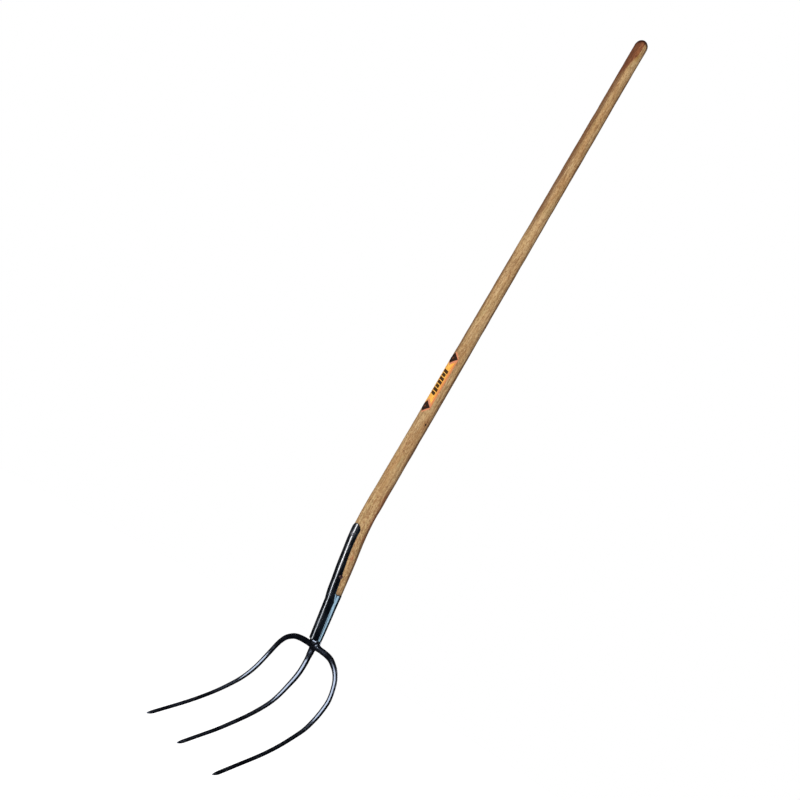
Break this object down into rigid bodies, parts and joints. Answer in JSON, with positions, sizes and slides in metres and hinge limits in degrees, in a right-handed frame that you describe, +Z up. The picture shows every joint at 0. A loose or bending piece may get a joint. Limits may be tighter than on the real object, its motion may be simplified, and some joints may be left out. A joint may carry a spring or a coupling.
{
  "type": "hay fork",
  "caption": "Long-handled hay fork with curved round tines, a strapped socket and a bent wooden handle, for lifting hay, straw and litter.",
  "frame": {"origin": "on the axis of the handle's straight grip, midway along its cylindrical stretch", "axes": "+Z up along the straight handle towards its rounded end; -Y towards the front, the side that the tine points, the strap and the label face; +X towards the right-hand tine as seen from the front's right"},
  "size_m": [0.2268, 0.1814, 1.6492],
  "materials": {
    "ash_wood": "smooth, clear oiled",
    "lacquered_steel": "gloss blue-black lacquer over forged steel",
    "ferrule_lacquer": "gloss blue-black lacquer over pressed sheet steel",
    "fastener_steel": "lacquered over with the ferrule",
    "nail_steel": "dark red-brown",
    "label_film": "printed yellow-orange sticker, satin"
  },
  "bodies": {
    "root": {"handle": "ash_wood", "strap_ferrule": "ferrule_lacquer", "tang_boss": "lacquered_steel", "centre_tine": "lacquered_steel", "outer_tine_bow": "lacquered_steel", "centre_tine_weld": "lacquered_steel", "strap_nail": "nail_steel", "strap_rivet": "fastener_steel", "rivet_burr": "fastener_steel", "ferrule_pin": "fastener_steel", "handle_label": "label_film"}
  },
  "joints": []
}
